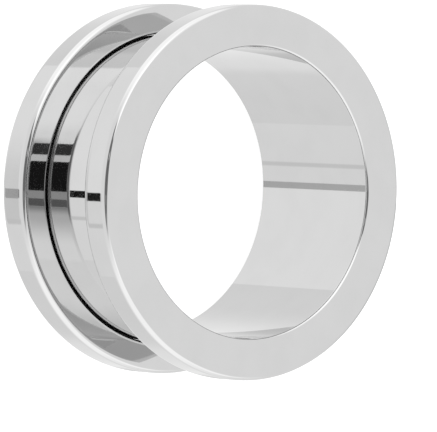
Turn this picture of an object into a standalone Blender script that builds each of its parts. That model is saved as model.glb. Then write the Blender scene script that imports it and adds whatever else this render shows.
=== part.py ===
"""Screw-fit ear tunnel in polished steel.

A flanged barrel goes through the stretched lobe from the front. A flanged ring screws onto its
free end behind the lobe. The tunnel lies on the ring's back face, with its axis along +Z.
Lengths are in metres.
"""

from math import cos, pi, sin, tan

import bmesh
import bpy
from mathutils import Vector

MM = 0.001

# Driving sizes of the whole tunnel
FLANGE_RADIUS = 12.0 * MM
TUBE_RADIUS = 10.05 * MM
BORE_RADIUS = 9.32 * MM
FLANGE_THICKNESS = 2.3 * MM
WEARING_LENGTH = 6.3 * MM

# The ring is as thick as the front flange. The barrel's tail ends just inside it, so the tunnel
# rests on the ring alone.
RING_THICKNESS = FLANGE_THICKNESS
TAIL_RECESS = 0.1 * MM
BARREL_LENGTH = RING_THICKNESS + WEARING_LENGTH + FLANGE_THICKNESS - TAIL_RECESS

# The thin dark gap between the tube and the ring, and the chamfer at the ring's back
RING_BORE_RADIUS = TUBE_RADIUS + 0.09 * MM
RING_BACK_CHAMFER = 0.35 * MM

# Edge roundings left by turning and polishing
RIM_ROUNDING = 0.30 * MM
BORE_ROUNDING = 0.20 * MM
RING_BORE_ROUNDING = 0.20 * MM
TAIL_ROUNDING = 0.08 * MM
NECK_FILLET = 0.12 * MM

# One right-hand V thread on the barrel's tail and one in the ring. Their crests pass each other
# with a little room, so the ring is free to come off along the axis.
THREAD_PITCH = 0.5 * MM
BARREL_ROOT_RADIUS = 9.72 * MM
BARREL_THREAD_DEPTH = 0.22 * MM
BARREL_THREAD_START = 0.28 * MM
BARREL_THREAD_TURNS = 2.75
RING_THREAD_DEPTH = 0.12 * MM
RING_THREAD_TURNS = 2.25
THREAD_RUNOUT_TURNS = 0.2
THREAD_RUNOUT_SIZE = 0.2
RELIEF_TOP = 2.15 * MM
TAIL_CHAMFER = 0.1 * MM

# The ring's thread sits half a pitch off the barrel's, so crests lie over roots
RING_THREAD_START = TAIL_RECESS + BARREL_THREAD_START + THREAD_PITCH / 2

STEPS_AROUND = 60
ARC_STEPS = 2
MERGE_DISTANCE = 0.000001

STEEL_COLOUR = (0.65, 0.65, 0.65, 1.0)
STEEL_ROUGHNESS = 0.05


def clear_scene():
    """Take away whatever objects the file opened with."""
    for thing in list(bpy.data.objects):
        bpy.data.objects.remove(thing, do_unlink=True)


def new_collection(name):
    """Add a collection to the scene."""
    collection = bpy.data.collections.new(name)
    bpy.context.scene.collection.children.link(collection)
    return collection


def polished_steel():
    """A bright, nearly mirror-like steel."""
    material = bpy.data.materials.new("polished_steel")
    material.use_nodes = True
    shader = material.node_tree.nodes["Principled BSDF"]
    shader.inputs["Base Color"].default_value = STEEL_COLOUR
    shader.inputs["Metallic"].default_value = 1.0
    shader.inputs["Roughness"].default_value = STEEL_ROUGHNESS
    return material


def rounded_outline(corners):
    """Points (radius, height) of a closed outline whose corners carry their own rounding.

    Each corner is (radius, height, rounding), and a rounding of 0 keeps it sharp.
    """
    outline = []
    for index, (radius, height, rounding) in enumerate(corners):
        corner = Vector((radius, height))
        if rounding == 0:
            outline.append(corner)
            continue
        before = (Vector(corners[index - 1][:2]) - corner).normalized()
        after = (Vector(corners[(index + 1) % len(corners)][:2]) - corner).normalized()
        half_angle = before.angle(after) / 2
        reach = rounding / tan(half_angle)
        centre = corner + (before + after).normalized() * (rounding / sin(half_angle))
        start = corner + before * reach - centre
        end = corner + after * reach - centre
        sweep = start.angle_signed(end)
        for step in range(ARC_STEPS + 1):
            turn = -sweep * step / ARC_STEPS
            outline.append(centre + Vector((
                start.x * cos(turn) - start.y * sin(turn),
                start.x * sin(turn) + start.y * cos(turn),
            )))
    return outline


def turned_piece(name, corners, material, collection):
    """Turn a closed outline round the Z axis with a Screw modifier."""
    outline = rounded_outline(corners)
    count = len(outline)
    mesh = bpy.data.meshes.new(name)
    points = [(point.x, 0.0, point.y) for point in outline]
    edges = [(index, (index + 1) % count) for index in range(count)]
    mesh.from_pydata(points, edges, [])
    mesh.materials.append(material)
    piece = bpy.data.objects.new(name, mesh)
    collection.objects.link(piece)
    screw = piece.modifiers.new("turning", "SCREW")
    screw.axis = "Z"
    screw.angle = 2 * pi
    screw.steps = STEPS_AROUND
    screw.render_steps = STEPS_AROUND
    screw.use_merge_vertices = True
    screw.merge_threshold = MERGE_DISTANCE
    screw.use_smooth_shade = True
    return piece


def thread_size_at(turn, turns):
    """How full the thread is at a turn: it grows from a small end over the run-out."""
    fullness = min(turn, turns - turn) / THREAD_RUNOUT_TURNS
    return THREAD_RUNOUT_SIZE + (1 - THREAD_RUNOUT_SIZE) * min(1.0, fullness)


def thread_ridge(name, root_radius, depth, start, turns, material, cutters):
    """A helical ridge of square section standing on its edge, half sunk in the wall it joins."""
    curve = bpy.data.curves.new(name, "CURVE")
    curve.dimensions = "3D"
    curve.twist_mode = "Z_UP"
    curve.bevel_depth = depth
    curve.bevel_resolution = 0
    curve.use_fill_caps = True
    spline = curve.splines.new("POLY")
    count = round(turns * STEPS_AROUND) + 1
    spline.points.add(count - 1)
    for index, point in enumerate(spline.points):
        turn = index / STEPS_AROUND
        angle = 2 * pi * turn
        height = start + turn * THREAD_PITCH
        point.co = (root_radius * cos(angle), root_radius * sin(angle), height, 1.0)
        point.radius = thread_size_at(turn, turns)
    path = bpy.data.objects.new(name + "_path", curve)
    cutters.objects.link(path)
    evaluated = path.evaluated_get(bpy.context.evaluated_depsgraph_get())
    mesh = bpy.data.meshes.new_from_object(evaluated)
    bpy.data.objects.remove(path, do_unlink=True)
    shell = bmesh.new()
    shell.from_mesh(mesh)
    bmesh.ops.remove_doubles(shell, verts=shell.verts, dist=MERGE_DISTANCE)
    bmesh.ops.recalc_face_normals(shell, faces=shell.faces)
    shell.to_mesh(mesh)
    shell.free()
    mesh.materials.clear()
    mesh.materials.append(material)
    ridge = bpy.data.objects.new(name, mesh)
    ridge.hide_render = True
    ridge.display_type = "WIRE"
    cutters.objects.link(ridge)
    return ridge


def join_thread(piece, ridge):
    """Make the ridge one body with the piece, and let both move together."""
    ridge.parent = piece
    union = piece.modifiers.new("thread", "BOOLEAN")
    union.operation = "UNION"
    union.solver = "EXACT"
    union.object = ridge


def flanged_barrel(material, parts, cutters):
    """The worn piece: front flange, tube and threaded tail in one. Its origin is the tail's end."""
    flange_underside = BARREL_LENGTH - FLANGE_THICKNESS
    relief_height = RELIEF_TOP - TAIL_RECESS
    relief_step = TUBE_RADIUS - BARREL_ROOT_RADIUS
    corners = [
        (BORE_RADIUS, BARREL_LENGTH, BORE_ROUNDING),
        (FLANGE_RADIUS, BARREL_LENGTH, RIM_ROUNDING),
        (FLANGE_RADIUS, flange_underside, RIM_ROUNDING),
        (TUBE_RADIUS, flange_underside, NECK_FILLET),
        (TUBE_RADIUS, relief_height, 0),
        (BARREL_ROOT_RADIUS, relief_height - relief_step, 0),
        (BARREL_ROOT_RADIUS, TAIL_CHAMFER, 0),
        (BARREL_ROOT_RADIUS - TAIL_CHAMFER, 0, 0),
        (BORE_RADIUS, 0, TAIL_ROUNDING),
    ]
    barrel = turned_piece("flanged_barrel", corners, material, parts)
    barrel.location = (0, 0, TAIL_RECESS)
    ridge = thread_ridge(
        "barrel_thread", BARREL_ROOT_RADIUS, BARREL_THREAD_DEPTH,
        BARREL_THREAD_START, BARREL_THREAD_TURNS, material, cutters,
    )
    join_thread(barrel, ridge)
    return barrel


def screw_ring(material, parts, cutters):
    """The nut of the tunnel: a flat ring with an inner thread. Its origin is in its back face."""
    corners = [
        (RING_BORE_RADIUS, RING_THICKNESS, RING_BORE_ROUNDING),
        (FLANGE_RADIUS, RING_THICKNESS, RIM_ROUNDING),
        (FLANGE_RADIUS, 0, RIM_ROUNDING),
        (RING_BORE_RADIUS + RING_BACK_CHAMFER, 0, 0),
        (RING_BORE_RADIUS, RING_BACK_CHAMFER, 0),
    ]
    ring = turned_piece("screw_ring", corners, material, parts)
    ridge = thread_ridge(
        "ring_thread", RING_BORE_RADIUS, RING_THREAD_DEPTH,
        RING_THREAD_START, RING_THREAD_TURNS, material, cutters,
    )
    join_thread(ring, ridge)
    return ring


def main():
    """Build the tunnel, assembled."""
    clear_scene()
    parts = new_collection("ear_tunnel")
    cutters = new_collection("ear_tunnel_cutters")
    steel = polished_steel()
    ring = screw_ring(steel, parts, cutters)
    barrel = flanged_barrel(steel, parts, cutters)
    axis = bpy.data.objects.new("screw_axis", None)
    parts.objects.link(axis)
    barrel.parent = axis
    ring.parent = axis


main()
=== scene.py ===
# %% [markdown]
# A screw-fit ear tunnel in mirror-polished steel. On the real thing a lathe turns two pieces: a
# barrel with a flat front flange, and a flat ring that screws onto its tail behind the lobe. The
# plain solids of both are loaded first. They are faceted, which a mirror would show at once, so
# each gets a finely turned piece that stands in its place and moves with it.

# %% Load the solids that the finish is built around
import math

import bmesh
import bpy
from mathutils import Matrix, Vector


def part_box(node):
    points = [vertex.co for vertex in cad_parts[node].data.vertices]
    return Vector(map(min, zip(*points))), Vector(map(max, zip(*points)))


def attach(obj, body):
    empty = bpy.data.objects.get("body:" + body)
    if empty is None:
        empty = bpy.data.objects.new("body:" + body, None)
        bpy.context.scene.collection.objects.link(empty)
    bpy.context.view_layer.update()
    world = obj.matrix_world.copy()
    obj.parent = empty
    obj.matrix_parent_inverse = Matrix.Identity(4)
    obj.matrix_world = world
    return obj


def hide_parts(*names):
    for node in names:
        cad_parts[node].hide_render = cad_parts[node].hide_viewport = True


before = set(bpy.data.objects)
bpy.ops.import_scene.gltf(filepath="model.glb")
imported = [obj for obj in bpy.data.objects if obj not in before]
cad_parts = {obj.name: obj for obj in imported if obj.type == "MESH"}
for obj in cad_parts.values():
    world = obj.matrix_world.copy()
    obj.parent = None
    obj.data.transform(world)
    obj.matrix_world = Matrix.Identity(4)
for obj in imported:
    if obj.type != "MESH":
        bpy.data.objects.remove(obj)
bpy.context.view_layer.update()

MM = 0.001
barrel_low, barrel_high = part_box("flanged_barrel")
ring_low, ring_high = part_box("screw_ring")
print("barrel", [round(side / MM, 2) for side in barrel_high - barrel_low], "mm")
print("ring", [round(side / MM, 2) for side in ring_high - ring_low], "mm")

# %% [markdown]
# The sizes that a box can't tell are named here, as a turner's drawing would give them: the wall
# of the tube, the roundings of the edges, and the thread. Everything else comes from the solids.

# %% Sizes of the turned pieces
FLANGE_RADIUS = barrel_high.x
FRONT_FACE = barrel_high.z
TAIL = barrel_low.z
RING_FACE = ring_high.z
TUBE_RADIUS = 10.05 * MM
BORE_RADIUS = 9.32 * MM
UNDERSIDE = FRONT_FACE - RING_FACE
RING_BORE_RADIUS = TUBE_RADIUS + 0.09 * MM

RIM_ROUNDING = 0.50 * MM
BORE_ROUNDING = 0.20 * MM
TAIL_ROUNDING = 0.08 * MM
NECK_FILLET = 0.12 * MM
RING_BORE_ROUNDING = 0.20 * MM
RING_BACK_CHAMFER = 0.35 * MM

THREAD_PITCH = 0.5 * MM
THREAD_ROOT_RADIUS = 9.72 * MM
BARREL_THREAD_DEPTH = 0.22 * MM
RING_THREAD_DEPTH = 0.12 * MM
BARREL_THREAD_TURNS = 2.75
RING_THREAD_TURNS = 2.25
THREAD_RUNOUT_TURNS = 0.2
THREAD_RUNOUT_SIZE = 0.2
RELIEF_TOP = 2.15 * MM
TAIL_CHAMFER = 0.1 * MM

STEPS_AROUND = 288
ROUNDING_STEPS = 6
RIM_STEPS = 10
CIRCULAR_PROFILE = 0.5
BUFFED_PROFILE = 0.64
WELD = 0.001 * MM
print("tube wall", round((TUBE_RADIUS - BORE_RADIUS) / MM, 2), "mm")

# %% [markdown]
# Before any operator runs, a hand modeller makes sure that only the right thing is selected. In
# code that is a small helper that starts edit mode with nothing chosen, and one that chooses
# vertices by where they are. Lengths here are tiny, so "at this place" means within a micron.

# %% Helpers for picking by place


def deselect_everything():
    """Leave no object selected."""
    if bpy.context.object and bpy.context.object.mode != "OBJECT":
        bpy.ops.object.mode_set(mode="OBJECT")
    bpy.ops.object.select_all(action="DESELECT")


def start_editing(piece, select_mode="VERT"):
    """Open one piece in edit mode with nothing chosen."""
    deselect_everything()
    bpy.context.view_layer.objects.active = piece
    piece.select_set(True)
    bpy.ops.object.mode_set(mode="EDIT")
    bpy.ops.mesh.select_mode(type=select_mode)
    bpy.ops.mesh.select_all(action="DESELECT")


def stop_editing():
    """Return to object mode."""
    bpy.ops.object.mode_set(mode="OBJECT")


def choose_vertices(piece, wanted):
    """Choose just the vertices whose place passes a test, and say how many there are."""
    bpy.ops.mesh.select_all(action="DESELECT")
    shell = bmesh.from_edit_mesh(piece.data)
    for vertex in shell.verts:
        vertex.select_set(bool(wanted(vertex.co)))
    shell.select_flush_mode()
    bmesh.update_edit_mesh(piece.data)
    return sum(vertex.select for vertex in shell.verts)


def near(value, target):
    """Whether two lengths agree within a micron."""
    return abs(value - target) < WELD


def apply_modifiers(piece):
    """Make every modifier on a piece part of its mesh."""
    deselect_everything()
    bpy.context.view_layer.objects.active = piece
    piece.select_set(True)
    for modifier in list(piece.modifiers):
        bpy.ops.object.modifier_apply(modifier=modifier.name)


# %% [markdown]
# A turned piece is its cross-section spun about the axis. The section starts as a rectangle the
# size of the flange, standing in the XZ plane, where a lathe tool would meet the work. The tube
# grows out of it by extruding an edge, the way the tool leaves it when it cuts the waist.

# %% Cross-section of the barrel


def upright_rectangle(name, inner, outer, low, high):
    """A rectangle in the XZ plane from two radii and two heights."""
    deselect_everything()
    centre = ((inner + outer) / 2, 0, (low + high) / 2)
    bpy.ops.mesh.primitive_plane_add(size=1, location=centre, rotation=(math.pi / 2, 0, 0))
    piece = bpy.context.object
    piece.name = name
    piece.data.name = name
    piece.scale = (outer - inner, high - low, 1)
    bpy.ops.object.transform_apply(location=True, rotation=True, scale=True)
    return piece


def extrude_down_to(piece, height, outer_radius):
    """Extrude the lowest edge to a height, and set its outer corner at a radius."""
    lowest = min(vertex.co.z for vertex in bmesh.from_edit_mesh(piece.data).verts)
    choose_vertices(piece, lambda place: near(place.z, lowest) and place.x < TUBE_RADIUS + WELD)
    step = (0, 0, height - lowest)
    bpy.ops.mesh.extrude_region_move(TRANSFORM_OT_translate={"value": step})
    shell = bmesh.from_edit_mesh(piece.data)
    outer = max(vertex.co.x for vertex in shell.verts if near(vertex.co.z, height))
    choose_vertices(piece, lambda place: near(place.z, height) and near(place.x, outer))
    bpy.ops.transform.translate(value=(outer_radius - outer, 0, 0))


barrel = upright_rectangle(
    "polished_barrel", BORE_RADIUS, FLANGE_RADIUS, UNDERSIDE, FRONT_FACE
)
start_editing(barrel)
bpy.ops.mesh.select_all(action="SELECT")
bpy.ops.mesh.bisect(plane_co=(TUBE_RADIUS, 0, 0), plane_no=(1, 0, 0))
RELIEF_STEP = TUBE_RADIUS - THREAD_ROOT_RADIUS
extrude_down_to(barrel, RELIEF_TOP, TUBE_RADIUS)
extrude_down_to(barrel, RELIEF_TOP - RELIEF_STEP, THREAD_ROOT_RADIUS)
extrude_down_to(barrel, TAIL + TAIL_CHAMFER, THREAD_ROOT_RADIUS)
extrude_down_to(barrel, TAIL, THREAD_ROOT_RADIUS - TAIL_CHAMFER)
print("barrel section has", len(bmesh.from_edit_mesh(barrel.data).verts), "corners and joints")
stop_editing()

# %% [markdown]
# Polishing rounds every edge a little, and on a mirror those roundings are what the eye reads:
# each one squeezes the whole room into a bright thread of light. The section's faces are merged
# into one, so only true corners are left, and each corner is bevelled by its own width. The
# rims met the buffing wheel hardest: their rounding starts very gently and tightens at the
# corner, which a bevel with a fuller profile than a circle's gives.

# %% Round the corners and spin the section
STRAIGHT_ENOUGH = math.radians(1)


def merge_into_outline(piece):
    """Merge a section's faces into one, with no vertices left along its straight sides."""
    bpy.ops.mesh.select_mode(type="FACE")
    bpy.ops.mesh.select_all(action="SELECT")
    bpy.ops.mesh.dissolve_faces()
    bpy.ops.mesh.select_all(action="SELECT")
    bpy.ops.mesh.dissolve_limited(angle_limit=STRAIGHT_ENOUGH)
    bpy.ops.mesh.select_mode(type="VERT")


def round_corner(
    piece, radius, height, width, steps=ROUNDING_STEPS, profile=CIRCULAR_PROFILE
):
    """Bevel the one corner at a radius and height. A single step makes it a chamfer."""
    found = choose_vertices(
        piece, lambda place: near(place.x, radius) and near(place.z, height)
    )
    if found != 1:
        raise ValueError(f"{piece.name}: {found} corners at {radius / MM}, {height / MM} mm")
    bpy.ops.mesh.bevel(offset=width, segments=steps, profile=profile, affect="VERTICES")


def buff_rim(piece, height):
    """Round the flange's outer corner at a height the way a buffing wheel does."""
    round_corner(piece, FLANGE_RADIUS, height, RIM_ROUNDING, RIM_STEPS, BUFFED_PROFILE)


def spin_section(piece):
    """Spin the outline a full turn about the Z axis and close the seam."""
    bpy.ops.mesh.select_mode(type="FACE")
    bpy.ops.mesh.select_all(action="SELECT")
    bpy.ops.mesh.delete(type="ONLY_FACE")
    bpy.ops.mesh.select_mode(type="VERT")
    bpy.ops.mesh.select_all(action="SELECT")
    bpy.ops.mesh.spin(
        steps=STEPS_AROUND, angle=2 * math.pi, center=(0, 0, 0), axis=(0, 0, 1)
    )
    bpy.ops.mesh.select_all(action="SELECT")
    bpy.ops.mesh.remove_doubles(threshold=WELD)
    bpy.ops.mesh.normals_make_consistent(inside=False)
    stop_editing()


start_editing(barrel)
merge_into_outline(barrel)
round_corner(barrel, BORE_RADIUS, FRONT_FACE, BORE_ROUNDING)
buff_rim(barrel, FRONT_FACE)
buff_rim(barrel, UNDERSIDE)
round_corner(barrel, TUBE_RADIUS, UNDERSIDE, NECK_FILLET)
round_corner(barrel, BORE_RADIUS, TAIL, TAIL_ROUNDING)
spin_section(barrel)
print("barrel turned:", len(barrel.data.polygons), "faces")

# %% [markdown]
# The ring is a plain rectangle in section. Its back edge has a smooth chamfer that leads the
# thread onto the barrel, so that corner is bevelled in one step instead of being rounded.

# %% Cross-section of the ring
ring = upright_rectangle("polished_ring", RING_BORE_RADIUS, FLANGE_RADIUS, 0, RING_FACE)
start_editing(ring)
round_corner(ring, RING_BORE_RADIUS, RING_FACE, RING_BORE_ROUNDING)
buff_rim(ring, RING_FACE)
buff_rim(ring, 0)
round_corner(ring, RING_BORE_RADIUS, 0, RING_BACK_CHAMFER, steps=1)
spin_section(ring)
print("ring turned:", len(ring.data.polygons), "faces")

# %% [markdown]
# The thread is cut as a V on the real pieces. Here it is a ridge added to the root cylinder: a
# four-sided section, half sunk in the wall, drawn along a helix by a Screw modifier. At each end
# the turner draws the tool back over part of a turn, so the section shrinks there, ring by ring.

# %% Threads


def helical_ridge(name, root_radius, depth, start, turns):
    """A closed ridge of diamond section along a right-hand helix."""
    deselect_everything()
    bpy.ops.mesh.primitive_circle_add(
        vertices=4, radius=depth, location=(root_radius, 0, start), rotation=(math.pi / 2, 0, 0)
    )
    ridge = bpy.context.object
    ridge.name = name
    bpy.ops.object.transform_apply(location=True, rotation=True, scale=True)
    screw = ridge.modifiers.new("helix", "SCREW")
    screw.angle = 2 * math.pi * turns
    screw.screw_offset = THREAD_PITCH * turns
    screw.steps = round(STEPS_AROUND * turns)
    screw.render_steps = screw.steps
    screw.merge_threshold = WELD
    apply_modifiers(ridge)
    return ridge


def in_section(place, centre):
    """Whether a vertex lies in the ridge's section about a point on the helix."""
    sideways = centre.x * place.y - centre.y * place.x
    beside = abs(sideways) / centre.length
    return beside < THREAD_PITCH / 8 and (place - centre).length < THREAD_PITCH / 2


def fade_ends(ridge, root_radius, start, turns):
    """Shrink the section over the run-outs, close both ends and point the faces outwards."""
    steps = round(STEPS_AROUND * turns)
    runout = round(STEPS_AROUND * THREAD_RUNOUT_TURNS)
    start_editing(ridge)
    for step in list(range(runout)) + list(range(steps - runout + 1, steps + 1)):
        angle = 2 * math.pi * step / STEPS_AROUND
        centre = Vector((
            root_radius * math.cos(angle),
            root_radius * math.sin(angle),
            start + THREAD_PITCH * step / STEPS_AROUND,
        ))
        share = THREAD_RUNOUT_SIZE + (1 - THREAD_RUNOUT_SIZE) * min(step, steps - step) / runout
        found = choose_vertices(ridge, lambda place: in_section(place, centre))
        if found != 4:
            raise ValueError(f"{ridge.name}: {found} vertices in the section at step {step}")
        bpy.ops.transform.resize(value=(share, share, share), center_override=centre)
        if step in (0, steps):
            bpy.ops.mesh.edge_face_add()
    bpy.ops.mesh.select_all(action="SELECT")
    bpy.ops.mesh.normals_make_consistent(inside=False)
    stop_editing()


def join_ridge(piece, ridge):
    """Unite the ridge with its piece and remove the ridge."""
    union = piece.modifiers.new("thread", "BOOLEAN")
    union.operation = "UNION"
    union.solver = "EXACT"
    union.object = ridge
    apply_modifiers(piece)
    bpy.data.objects.remove(ridge, do_unlink=True)


def add_thread(piece, root_radius, depth, start, turns):
    """Give a turned piece its thread."""
    ridge = helical_ridge(piece.name + "_thread", root_radius, depth, start, turns)
    fade_ends(ridge, root_radius, start, turns)
    join_ridge(piece, ridge)


THREAD_LEAD_IN = 0.28 * MM
BARREL_THREAD_START = TAIL + THREAD_LEAD_IN
RING_THREAD_START = BARREL_THREAD_START + THREAD_PITCH / 2
add_thread(
    barrel, THREAD_ROOT_RADIUS, BARREL_THREAD_DEPTH, BARREL_THREAD_START, BARREL_THREAD_TURNS
)
add_thread(ring, RING_BORE_RADIUS, RING_THREAD_DEPTH, RING_THREAD_START, RING_THREAD_TURNS)
print("with threads: barrel", len(barrel.data.polygons), "ring", len(ring.data.polygons), "faces")

# %% [markdown]
# On a mirror, a face is only as flat as its shading normals. Smooth shading alone would bend the
# light across the flat flanges, because a flat face shares its edge normals with the rounding
# beside it. Weighting normals by face area keeps the flats flat and the roundings round. The
# modifier takes the areas of a jewel for nothing, so it works on the piece enlarged to a metre's
# size, which is shrunk again afterwards. Normals keep their direction when a piece is scaled.

# %% Shade the turned faces
REAL_EDGE = math.radians(35)
FULL_WEIGHT = 100


def scale_whole(piece, factor):
    """Scale a piece about the origin, and keep the scale in its mesh."""
    piece.scale = (factor, factor, factor)
    bpy.ops.object.transform_apply(location=False, rotation=False, scale=True)


def shade_turned(piece):
    """Smooth the curved faces, keep real edges sharp and flat faces flat."""
    deselect_everything()
    bpy.context.view_layer.objects.active = piece
    piece.select_set(True)
    scale_whole(piece, 1 / MM)
    bpy.ops.object.shade_smooth_by_angle(angle=REAL_EDGE)
    weighted = piece.modifiers.new("flat_faces", "WEIGHTED_NORMAL")
    weighted.keep_sharp = True
    weighted.weight = FULL_WEIGHT
    apply_modifiers(piece)
    scale_whole(piece, MM)


shade_turned(barrel)
shade_turned(ring)

# %% [markdown]
# Mirror-polished stainless steel has almost no colour of its own: it gives back about two thirds
# of the light that meets it, a little more at a glancing angle. A flat shader with that value
# would look like a drawing, so the finish is built from what the lathe and the buffing wheel
# leave. Every mark follows from where a point is on the turned piece, so nodes do it all. First
# come a few helpers that keep the wiring short.

# %% Helpers for wiring nodes


def add_node(tree, kind, **settings):
    """Add a node and give it its settings."""
    node = tree.nodes.new(kind)
    for name, value in settings.items():
        setattr(node, name, value)
    return node


def feed(tree, socket, source):
    """Link another node's socket into this one, or set this one to a plain value."""
    if isinstance(source, bpy.types.NodeSocket):
        tree.links.new(source, socket)
    else:
        socket.default_value = source


def calculate(tree, operation, *sources):
    """The result of a Math node."""
    node = add_node(tree, "ShaderNodeMath", operation=operation)
    for socket, source in zip(node.inputs, sources):
        feed(tree, socket, source)
    return node.outputs[0]


def fade(tree, value, start, end, low=0.0, high=1.0):
    """A smooth step from low at start to high at end."""
    node = add_node(tree, "ShaderNodeMapRange", interpolation_type="SMOOTHSTEP")
    sources = {"Value": value, "From Min": start, "From Max": end, "To Min": low, "To Max": high}
    for name, source in sources.items():
        feed(tree, node.inputs[name], source)
    return node.outputs["Result"]


def noise(tree, scale, detail, vector=None, along=None):
    """A noise value, in space, or along a single coordinate."""
    node = add_node(tree, "ShaderNodeTexNoise", noise_dimensions="1D" if vector is None else "3D")
    if vector is None:
        feed(tree, node.inputs["W"], along)
    else:
        feed(tree, node.inputs["Vector"], vector)
    feed(tree, node.inputs["Scale"], scale)
    feed(tree, node.inputs["Detail"], detail)
    return node.outputs["Fac"]


def new_group(name, inputs, outputs):
    """An empty node group, with the sockets that its nodes start from and end in."""
    group = bpy.data.node_groups.new(name, "ShaderNodeTree")
    for socket_name, kind in inputs.items():
        group.interface.new_socket(socket_name, in_out="INPUT", socket_type=kind)
    for socket_name in outputs:
        group.interface.new_socket(socket_name, in_out="OUTPUT", socket_type="NodeSocketFloat")
    return group, add_node(group, "NodeGroupInput").outputs, add_node(group, "NodeGroupOutput").inputs


def use_group(tree, group, **sources):
    """Place a node group, feed its inputs and return its outputs."""
    node = add_node(tree, "ShaderNodeGroup", node_tree=group)
    for name, source in sources.items():
        feed(tree, node.inputs[name], source)
    return node.outputs


# %% [markdown]
# A turned surface is known by two numbers: how far a point is from the axis, and how high it is.
# Their sum runs evenly across flats, walls and roundings alike, as the tool did, so rings drawn
# along it lie the way real turning marks lie. This group measures both in millimetres.

# %% Node group: place on the lathe
lathe_place, given, result = new_group(
    "lathe_place", {"Place": "NodeSocketVector"}, ["Radius", "Height", "Travel"]
)
axes = add_node(lathe_place, "ShaderNodeSeparateXYZ")
feed(lathe_place, axes.inputs[0], given["Place"])
squares = [calculate(lathe_place, "POWER", axes.outputs[side], 2.0) for side in ("X", "Y")]
off_axis = calculate(lathe_place, "SQRT", calculate(lathe_place, "ADD", *squares))
radius_mm = calculate(lathe_place, "DIVIDE", off_axis, MM)
height_mm = calculate(lathe_place, "DIVIDE", axes.outputs["Z"], MM)
feed(lathe_place, result["Radius"], radius_mm)
feed(lathe_place, result["Height"], height_mm)
feed(lathe_place, result["Travel"], calculate(lathe_place, "ADD", radius_mm, height_mm))
print("group", lathe_place.name, "has", len(lathe_place.nodes), "nodes")

# %% [markdown]
# Turning leaves a fine spiral groove, and polishing wears most of it away. What stays is faint
# rings of uneven depth, stronger in some places round the piece than in others. Noise along the
# travel makes the rings, a slower noise makes the slight waves under them, and noise in space
# says where the polish has almost taken them off.

# %% Node group: turning marks
WAVES_PER_MM = 3.0
WEAR_SCALE = 280.0
turning_marks, given, result = new_group(
    "turning_marks",
    {"Place": "NodeSocketVector", "Rings Per Millimetre": "NodeSocketFloat"},
    ["Rings", "Height"],
)
travel = use_group(turning_marks, lathe_place, Place=given["Place"])["Travel"]
rings = noise(turning_marks, given["Rings Per Millimetre"], 1.0, along=travel)
waves = noise(turning_marks, WAVES_PER_MM, 2.0, along=travel)
worn = noise(turning_marks, WEAR_SCALE, 2.0, vector=given["Place"])
left_standing = fade(turning_marks, worn, 0.4, 0.65, 0.25, 1.0)
standing_rings = calculate(turning_marks, "MULTIPLY", rings, left_standing)
feed(turning_marks, result["Rings"], standing_rings)
feed(turning_marks, result["Height"], calculate(turning_marks, "ADD", standing_rings, waves))
print("group", turning_marks.name, "has", len(turning_marks.nodes), "nodes")

# %% [markdown]
# Handling a polished jewel leaves hairlines, short scratches far thinner than a hair that lie in
# every direction. Noise that is stretched a hundred times longer one way than the other gives
# streaks, and only its highest crests are kept. Two sets, turned against each other, cross.

# %% Node group: hairlines
HAIRLINE_SCALE = 260.0
LINE_STRETCH = 100.0
LINE_STARTS = 0.72
LINE_IS_FULL = 0.8
hairlines, given, result = new_group(
    "hairlines", {"Place": "NodeSocketVector", "Amount": "NodeSocketFloat"}, ["Lines"]
)


def streaks(axis, angle):
    """One set of streaks, turned about an axis."""
    turned = add_node(hairlines, "ShaderNodeVectorRotate")
    feed(hairlines, turned.inputs["Vector"], given["Place"])
    feed(hairlines, turned.inputs["Axis"], axis)
    feed(hairlines, turned.inputs["Angle"], math.radians(angle))
    stretched = add_node(hairlines, "ShaderNodeVectorMath", operation="MULTIPLY")
    feed(hairlines, stretched.inputs[0], turned.outputs[0])
    feed(hairlines, stretched.inputs[1], (1.0, LINE_STRETCH, LINE_STRETCH))
    crests = noise(hairlines, HAIRLINE_SCALE, 0.0, vector=stretched.outputs[0])
    return fade(hairlines, crests, LINE_STARTS, LINE_IS_FULL)


crossed = calculate(
    hairlines, "MAXIMUM", streaks((0.3, 0.5, 0.8), 34), streaks((0.7, -0.2, 0.6), 121)
)
feed(hairlines, result["Lines"], calculate(hairlines, "MULTIPLY", crossed, given["Amount"]))
print("group", hairlines.name, "has", len(hairlines.nodes), "nodes")

# %% [markdown]
# The buffing wheel can't reach into a thread, so the thread and its neighbouring walls stay as
# cut: satin. A mask finds them by radius and height. The mask also darkens their colour as
# painted shade, which makes the narrow gap between ring and tube read as a black line.

# %% Node group: unpolished thread, with painted shade
unpolished_thread_with_painted_shade, given, result = new_group(
    "unpolished_thread_with_painted_shade",
    {
        "Place": "NodeSocketVector",
        "Inner Radius": "NodeSocketFloat",
        "Outer Radius": "NodeSocketFloat",
        "Top": "NodeSocketFloat",
    },
    ["Mask"],
)
EDGE_OF_POLISH_MM = 0.03
where = use_group(unpolished_thread_with_painted_shade, lathe_place, Place=given["Place"])


def side_mask(value, limit, inside_below):
    """A mask that turns on over a short way at a limit."""
    margin = EDGE_OF_POLISH_MM if inside_below else -EDGE_OF_POLISH_MM
    beyond = calculate(unpolished_thread_with_painted_shade, "ADD", limit, margin)
    return fade(unpolished_thread_with_painted_shade, value, beyond, limit)


outside_inner = side_mask(where["Radius"], given["Inner Radius"], False)
inside_outer = side_mask(where["Radius"], given["Outer Radius"], True)
below_top = side_mask(where["Height"], given["Top"], True)
between = calculate(unpolished_thread_with_painted_shade, "MULTIPLY", outside_inner, inside_outer)
feed(unpolished_thread_with_painted_shade, result["Mask"], calculate(unpolished_thread_with_painted_shade, "MULTIPLY", between, below_top))
print("group", unpolished_thread_with_painted_shade.name, "has", len(unpolished_thread_with_painted_shade.nodes), "nodes")

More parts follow.
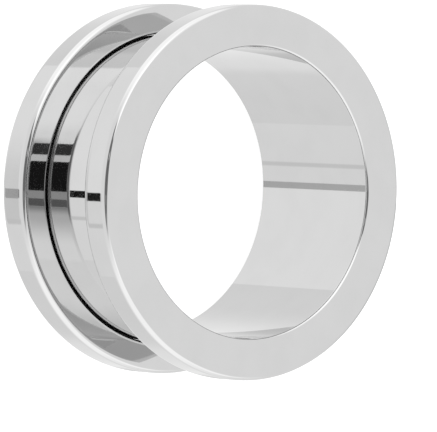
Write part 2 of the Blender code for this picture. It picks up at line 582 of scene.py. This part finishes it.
# %% [markdown]
# Both pieces are the same steel with the same finish, so one function makes the two materials,
# and only the place of the thread differs. The mirror itself is the Principled shader's metal:
# its base colour is the share of light given back, and its low roughness keeps reflections
# crisp. The marks are a few hundred-millionths of a metre high, which is all that a mirror shows.

# %% Steel for both pieces
POLISHED_STEEL = (0.655, 0.655, 0.655, 1)
HAZED_STEEL = (0.64, 0.64, 0.64, 1)
# The colour below is the thread's: its darkness is painted shade in the gap, not a colour of the
# steel.
CUT_STEEL_WITH_PAINTED_SHADE = (0.36, 0.36, 0.36, 1)
RINGS_PER_MM = 26.0
HAZE_SCALE = 420.0
MIRROR_ROUGHNESS = 0.018
HAZE_ROUGHNESS = 0.010
RING_ROUGHNESS = 0.008
HAIRLINE_ROUGHNESS = 0.08
CUT_ROUGHNESS = 0.34
MARK_HEIGHT = 0.000025 * MM
HAIRLINE_DEPTH = 0.6


def mix_colours(tree, share, first, second):
    """Blend two colours."""
    node = add_node(tree, "ShaderNodeMix", data_type="RGBA")
    colour_inputs = [socket for socket in node.inputs if socket.type == "RGBA"]
    feed(tree, node.inputs["Factor"], share)
    feed(tree, colour_inputs[0], first)
    feed(tree, colour_inputs[1], second)
    return next(socket for socket in node.outputs if socket.type == "RGBA")


def fade_between(tree, share, first, second):
    """Blend two values."""
    node = add_node(tree, "ShaderNodeMix", data_type="FLOAT")
    values = [socket for socket in node.inputs if socket.type == "VALUE"]
    for socket, source in zip(values, (share, first, second)):
        feed(tree, socket, source)
    return node.outputs["Result"]


def turned_steel(name, thread_inner, thread_outer, thread_top):
    """Polished steel with an unpolished thread between two radii, given in metres, darkened as
    painted shade.
    """
    material = bpy.data.materials.new(name)
    material.use_nodes = True
    tree = material.node_tree
    shader = tree.nodes["Principled BSDF"]
    shader.inputs["Metallic"].default_value = 1
    place = add_node(tree, "ShaderNodeTexCoord").outputs["Object"]
    marks = use_group(
        tree, turning_marks, **{"Place": place, "Rings Per Millimetre": RINGS_PER_MM}
    )
    lines = use_group(tree, hairlines, Place=place, Amount=1.0)["Lines"]
    # The thread mask below also carries the painted shade of the gap between ring and tube.
    thread = use_group(tree, unpolished_thread_with_painted_shade, **{
        "Place": place,
        "Inner Radius": thread_inner / MM,
        "Outer Radius": thread_outer / MM,
        "Top": thread_top / MM,
    })["Mask"]
    haze = fade(tree, noise(tree, HAZE_SCALE, 3.0, vector=place), 0.35, 0.7)
    polished = mix_colours(tree, haze, POLISHED_STEEL, HAZED_STEEL)
    # The mask darkens the thread's colour as painted shade; its higher roughness is the real satin of
    # cut steel.
    feed(tree, shader.inputs["Base Color"], mix_colours(tree, thread, polished, CUT_STEEL_WITH_PAINTED_SHADE))
    dulled = calculate(tree, "MULTIPLY_ADD", haze, HAZE_ROUGHNESS, MIRROR_ROUGHNESS)
    dulled = calculate(tree, "MULTIPLY_ADD", marks["Rings"], RING_ROUGHNESS, dulled)
    dulled = calculate(tree, "MULTIPLY_ADD", lines, HAIRLINE_ROUGHNESS, dulled)
    feed(tree, shader.inputs["Roughness"], fade_between(tree, thread, dulled, CUT_ROUGHNESS))
    relief = calculate(tree, "MULTIPLY_ADD", lines, -HAIRLINE_DEPTH, marks["Height"])
    bump = add_node(tree, "ShaderNodeBump")
    bump.inputs["Strength"].default_value = 1
    bump.inputs["Distance"].default_value = MARK_HEIGHT
    feed(tree, bump.inputs["Height"], relief)
    feed(tree, shader.inputs["Normal"], bump.outputs["Normal"])
    return material


BORE_CLEARANCE = 0.05 * MM
barrel_steel = turned_steel(
    "barrel_steel", BORE_RADIUS + BORE_CLEARANCE, TUBE_RADIUS, RELIEF_TOP
)
ring_steel = turned_steel(
    "ring_steel", TUBE_RADIUS - BORE_CLEARANCE, RING_BORE_RADIUS, RING_FACE - RING_BORE_ROUNDING
)
for piece, material in ((barrel, barrel_steel), (ring, ring_steel)):
    piece.data.materials.clear()
    piece.data.materials.append(material)
    print(piece.name, "wears", material.name, "with", len(material.node_tree.nodes), "nodes")

# %% [markdown]
# The barrel screws out of the ring, so each fine piece rides on its own body and takes the place
# of its plain solid.

# %% Put the fine pieces in place of the solids
for piece, body, solid in (
    (barrel, "barrel", "flanged_barrel"),
    (ring, "ring", "screw_ring"),
):
    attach(piece, body)
    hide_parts(solid)
    print(piece.name, "rides on", body, "and stands for", solid)

# %% [markdown]
# Jewellery like this is often shot on a light table: a white sheet, lit through from below, that
# leaves no shadow but a faint one right under the piece. The sheet here shines a little by
# itself and takes light from the room as well. It is hidden from reflections, so that the steel
# mirrors the studio, which is easier to arrange than a floor.

# %% Light table
TABLE_SIDE = 2.0
TABLE_GLOW = 0.8
TABLE_WHITE = (0.55, 0.55, 0.55, 1)
deselect_everything()
bpy.ops.mesh.primitive_plane_add(size=TABLE_SIDE, location=(0, 0, 0))
light_table = bpy.context.object
light_table.name = "light_table"
light_table.visible_glossy = False
frosted = bpy.data.materials.new("frosted_white")
frosted.use_nodes = True
frosted_shader = frosted.node_tree.nodes["Principled BSDF"]
frosted_shader.inputs["Base Color"].default_value = TABLE_WHITE
frosted_shader.inputs["Roughness"].default_value = 1
frosted_shader.inputs["Emission Color"].default_value = (1, 1, 1, 1)
frosted_shader.inputs["Emission Strength"].default_value = TABLE_GLOW
light_table.data.materials.append(frosted)
print("light table", TABLE_SIDE, "m wide")

# %% [markdown]
# A mirror shows nothing but its surroundings, so the studio is what gives this piece its looks.
# Photographers hang white and black cards round polished metal. The world does the same here: a
# direction is turned into two angles, azimuth from the camera's side and elevation above the
# table, and each card covers a stretch of both with soft edges. One group is one card, laid over
# whatever light is behind it.

# %% Node group: studio card
CARD_INPUTS = (
    "Behind", "Azimuth", "Elevation", "Left Start", "Left End", "Right Start", "Right End",
    "Low Start", "Low End", "High Start", "High End", "Light",
)
studio_card, given, result = new_group(
    "studio_card", {name: "NodeSocketFloat" for name in CARD_INPUTS}, ["Light"]
)
past_left = fade(studio_card, given["Azimuth"], given["Left Start"], given["Left End"])
before_right = fade(
    studio_card, given["Azimuth"], given["Right Start"], given["Right End"], 1.0, 0.0
)
past_low = fade(studio_card, given["Elevation"], given["Low Start"], given["Low End"])
below_high = fade(
    studio_card, given["Elevation"], given["High Start"], given["High End"], 1.0, 0.0
)
sideways = calculate(studio_card, "MULTIPLY", past_left, before_right)
cover = calculate(
    studio_card, "MULTIPLY", sideways, calculate(studio_card, "MULTIPLY", past_low, below_high)
)
feed(studio_card, result["Light"], fade_between(studio_card, cover, given["Behind"], given["Light"]))
print("group", studio_card.name, "has", len(studio_card.nodes), "nodes")

# %% [markdown]
# This is the plan of the studio, in degrees. Azimuth 0 is where the camera stands, minus is to
# its left, plus to its right, and elevation 90 is straight up. The waist of the tunnel mirrors a
# row of dark cards above the camera, and the long bright edges are two tall softboxes. Each row
# is left edge, right edge, their softness, low edge, high edge, their softness, and how bright
# the card is against the white of the room. The places were chosen so that the reflections fall
# where they do in the photograph; the real studio isn't known.

# %% Plan of the studio
CARDS = {
    "left far room": (-200, -160, 1, 16, -90, 20, 1, 20, 0.88),
    "right far room": (160, 200, 16, 1, -90, 20, 1, 20, 0.72),
    "lower left sweep": (-79, 5.3, 0.5, 0.5, -90, -46, 1, 6, 1.05),
    "lower right sweep": (10.4, 58.5, 0.5, 0.5, -90, -46, 1, 6, 0.97),
    "left side panel": (-122, -79, 34, 0.6, -90, -46, 1, 6, 0.92),
    "right side panel": (58.5, 115, 0.6, 14, -90, -46, 1, 6, 0.91),
    "far right sweep": (11, 27.5, 0.3, 1.5, -90, -53.15, 1, 0.1, 0.82),
    "far left sweep": (-16, 5.3, 36, 0.3, -90, -53.15, 1, 0.1, 0.88),
    "left softbox": (-114, -45, 12, 30, -46, 60, 8, 8, 1.4),
    "left softbox top": (-98.5, -20, 3, 2, 25, 62, 50, 6, 1.6),
    "left outer top": (-118, -98.5, 12, 3, 35, 62, 20, 6, 1.2),
    "right softbox": (38, 114, 36, 40, -30, 62, 40, 8, 1.36),
    "right softbox top": (84, 137, 20, 16, 22, 50, 14, 6, 1.36),
    "dim camera side": (-34, 24, 12, 14, 18, 88, 16, 6, 0.22),
    "white surround": (-42, 60, 14, 4, 49, 57, 3, 3, 1.45),
    "hood shade": (-32, -29, 7, 0.2, 53.2, 57, 0.06, 3, 0.78),
    "black card, left": (-29.3, -20.5, 0.6, 0.6, 49, 57, 3, 3, 0.06),
    "gap between cards": (-20.5, -15.6, 0.3, 0.3, 49, 57, 3, 3, 1),
    "black card, middle": (-15.6, 6.6, 0.3, 0.3, 49, 57, 3, 3, 0.016),
    "grey card": (6.6, 12.3, 0.3, 0.3, 49, 57, 3, 3, 0.525),
    "dark card, right": (12.3, 18.2, 0.3, 0.6, 49, 57, 3, 3, 0.174),
    "falloff, outer": (18.2, 36, 0.6, 24, 49, 57, 3, 3, 0.85),
    "falloff, inner": (18.2, 21.2, 0.6, 7.5, 49, 57, 3, 3, 0.36),
    "low grey strip": (5.2, 10.3, 0.4, 0.4, -62, -47, 1, 2, 0.56),
    "low grey strip, outer": (5.1, 11.1, 0.4, 0.4, -62, -53.15, 1, 0.1, 0.5),
    "low black strip": (5.2, 10.3, 0.4, 0.4, -53.2, -52, 0.15, 0.3, 0.004),
    "thin grey strip": (24.3, 27, 1.2, 1.2, -62, -51.9, 1, 0.2, 0.78),
    "thin grey strip, inner": (22.9, 26.2, 1.2, 1.2, -51.9, -47, 0.2, 2, 0.8),
}
print(len(CARDS), "cards")

# %% [markdown]
# The cards are chained, each over the one before it. The camera itself sees plain white behind
# the piece, because only reflections should show the studio.

# %% World
studio = bpy.data.worlds.new("studio")
bpy.context.scene.world = studio
studio.use_nodes = True
room = studio.node_tree
direction = add_node(room, "ShaderNodeSeparateXYZ")
feed(room, direction.inputs[0], add_node(room, "ShaderNodeTexCoord").outputs["Generated"])
away = calculate(room, "MULTIPLY", direction.outputs["Y"], -1.0)
azimuth = calculate(room, "DEGREES", calculate(room, "ARCTAN2", direction.outputs["X"], away))
elevation = calculate(room, "DEGREES", calculate(room, "ARCSINE", direction.outputs["Z"]))
light = 1.0
for left, right, left_soft, right_soft, low, high, low_soft, high_soft, brightness in CARDS.values():
    light = use_group(room, studio_card, **{
        "Behind": light,
        "Azimuth": azimuth,
        "Elevation": elevation,
        "Left Start": left - left_soft / 2,
        "Left End": left + left_soft / 2,
        "Right Start": right - right_soft / 2,
        "Right End": right + right_soft / 2,
        "Low Start": low - low_soft / 2,
        "Low End": low + low_soft / 2,
        "High Start": high - high_soft / 2,
        "High End": high + high_soft / 2,
        "Light": brightness,
    })["Light"]
seen_by_camera = add_node(room, "ShaderNodeLightPath").outputs["Is Camera Ray"]
backdrop = room.nodes["Background"]
feed(room, backdrop.inputs["Color"], fade_between(room, seen_by_camera, light, 1.0))
bpy.context.scene.view_settings.view_transform = "Standard"
print("studio has", len(room.nodes), "nodes")

# %% [markdown]
# The camera looks down on the lying tunnel at a little over 50 degrees and is rolled onto its
# side, which is why the tunnel seems to stand on its rim. A long lens from 39 centimetres keeps
# the two flanges nearly the same size.

# %% Camera
VIEW_ELEVATION = math.radians(51.57)
CAMERA_ROLL = math.radians(93.05)
CAMERA_REACH = 388.09 * MM
BASE_RIGHT_OF_CENTRE = -4.45 * MM
BASE_ABOVE_CENTRE = 1.84 * MM
LENS_MM = 490.9
NEAREST_SEEN = 10 * MM
camera_data = bpy.data.cameras.new("camera")
camera = bpy.data.objects.new("camera", camera_data)
bpy.context.scene.collection.objects.link(camera)
bpy.context.scene.camera = camera
camera_data.lens = LENS_MM
camera_data.clip_start = NEAREST_SEEN
level_right = Vector((1, 0, 0))
level_up = Vector((0, math.sin(VIEW_ELEVATION), math.cos(VIEW_ELEVATION)))
backward = Vector((0, -math.cos(VIEW_ELEVATION), math.sin(VIEW_ELEVATION)))
right = level_right * math.cos(CAMERA_ROLL) + level_up * math.sin(CAMERA_ROLL)
up = level_up * math.cos(CAMERA_ROLL) - level_right * math.sin(CAMERA_ROLL)
place = backward * CAMERA_REACH - right * BASE_RIGHT_OF_CENTRE - up * BASE_ABOVE_CENTRE
turn = Matrix((right, up, backward)).transposed().to_4x4()
camera.matrix_world = Matrix.Translation(place) @ turn
print("camera", round(place.length, 3), "m from the piece")
